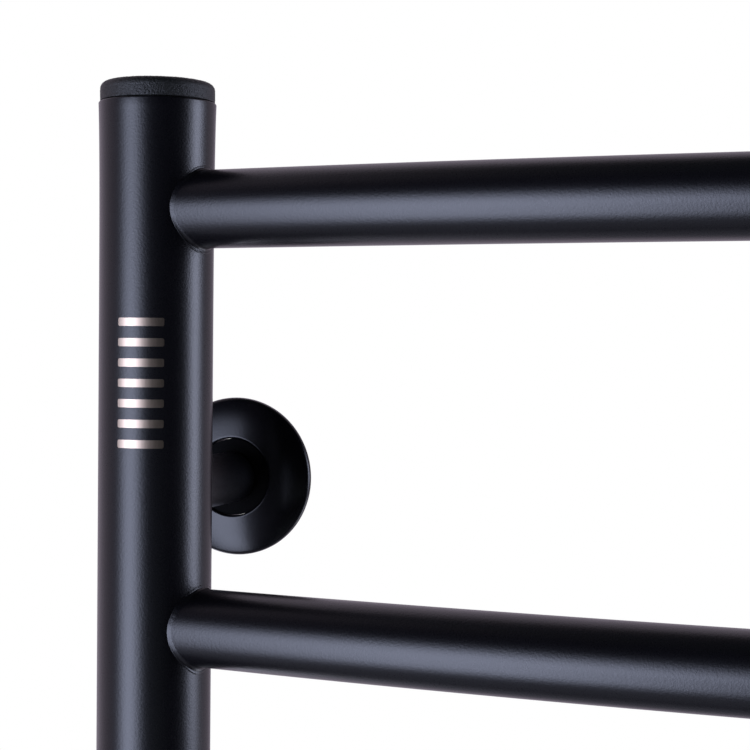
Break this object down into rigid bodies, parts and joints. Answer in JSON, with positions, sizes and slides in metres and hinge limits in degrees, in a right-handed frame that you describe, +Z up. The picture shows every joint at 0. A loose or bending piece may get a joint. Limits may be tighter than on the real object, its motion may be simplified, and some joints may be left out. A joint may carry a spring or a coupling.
{
  "type": "towel warmer rack",
  "caption": "Wall-hung electric towel warmer: upright tubular posts joined by bowed rungs, on telescoping wall arms, with a control head at the foot.",
  "frame": {"origin": "centre of the rectangle of the four wall screws, on the wall's plane", "axes": "+X to the right seen from the room, +Y into the wall, +Z up"},
  "size_m": [0.518, 0.09, 0.8778],
  "materials": {
    "powder_coat": "satin black powder coat with a fine grain",
    "cap_plastic": "matte black plastic with a fine leather grain",
    "black_zinc": "dull black zinc plate",
    "zinc_steel": "bright zinc plate",
    "black_rubber": "matte black rubber",
    "cable_silicone": "red-brown silicone sheath",
    "seal_silicone": "dark grey silicone",
    "cutout_casing": "off-white moulded plastic",
    "head_plastic": "matte black moulded plastic",
    "tinned_brass": "plain brass",
    "board_laminate": "green lacquered laminate",
    "terminal_plastic": "green moulded plastic",
    "component_black": "black moulded plastic",
    "capacitor_case": "yellow moulded case",
    "button_plastic": "satin dark grey plastic",
    "led_case": "white moulded case",
    "lens_plastic": "clear red plastic"
  },
  "bodies": {
    "wall_side": {"upper_left_wall_bush": "black_zinc", "upper_right_wall_bush": "black_zinc", "lower_left_wall_bush": "black_zinc", "lower_right_wall_bush": "black_zinc", "bush_rings": "black_rubber"},
    "rack": {"left_post": "powder_coat", "right_post": "powder_coat", "rung_1": "powder_coat", "rung_2": "powder_coat", "rung_3": "powder_coat", "rung_4": "powder_coat", "rung_5": "powder_coat", "rung_6": "powder_coat", "rung_7": "powder_coat", "left_rung_welds": "powder_coat", "right_rung_welds": "powder_coat", "arm_welds": "powder_coat", "upper_left_arm": "powder_coat", "upper_right_arm": "powder_coat", "lower_left_arm": "powder_coat", "lower_right_arm": "powder_coat", "left_top_cap": "cap_plastic", "right_top_cap": "cap_plastic", "left_bottom_cap": "cap_plastic", "grub_screws": "black_zinc", "base_screws": "zinc_steel", "housing_screw": "zinc_steel", "housing_nut": "zinc_steel", "gland_seal": "black_rubber", "heating_cable": "cable_silicone", "cable_end_seal": "seal_silicone", "thermal_cutout": "cutout_casing", "control_housing": "head_plastic", "control_base": "head_plastic", "gland_body": "head_plastic", "gland_nut": "head_plastic", "gland_locknut": "head_plastic", "earth_lug": "tinned_brass", "circuit_board": "board_laminate", "terminal_block": "terminal_plastic", "heater_triac": "component_black", "button_switch": "component_black", "supply_capacitor": "capacitor_case", "indicator_led": "led_case", "indicator_lens": "lens_plastic"},
    "upper_left_cover": {"upper_left_rosette": "powder_coat"},
    "upper_right_cover": {"upper_right_rosette": "powder_coat"},
    "lower_left_cover": {"lower_left_rosette": "powder_coat"},
    "lower_right_cover": {"lower_right_rosette": "powder_coat"},
    "button": {"power_button": "button_plastic", "switch_plunger": "button_plastic"}
  },
  "joints": [
    {"name": "arm_extension", "type": "slide", "parent": "wall_side", "child": "rack", "axis": [0, -1, 0], "range_m": [0, 0.015]},
    {"name": "upper_left_rosette_slide", "type": "slide", "parent": "wall_side", "child": "upper_left_cover", "axis": [0, -1, 0], "range_m": [0, 0.036]},
    {"name": "upper_right_rosette_slide", "type": "slide", "parent": "wall_side", "child": "upper_right_cover", "axis": [0, -1, 0], "range_m": [0, 0.036]},
    {"name": "lower_left_rosette_slide", "type": "slide", "parent": "wall_side", "child": "lower_left_cover", "axis": [0, -1, 0], "range_m": [0, 0.036]},
    {"name": "lower_right_rosette_slide", "type": "slide", "parent": "wall_side", "child": "lower_right_cover", "axis": [0, -1, 0], "range_m": [0, 0.036]},
    {"name": "power_button_press", "type": "slide", "parent": "rack", "child": "button", "axis": [0, 1, 0], "range_m": [0, 0.001], "stiffness_N_per_m": 1500, "springref_m": -0.0005}
  ]
}
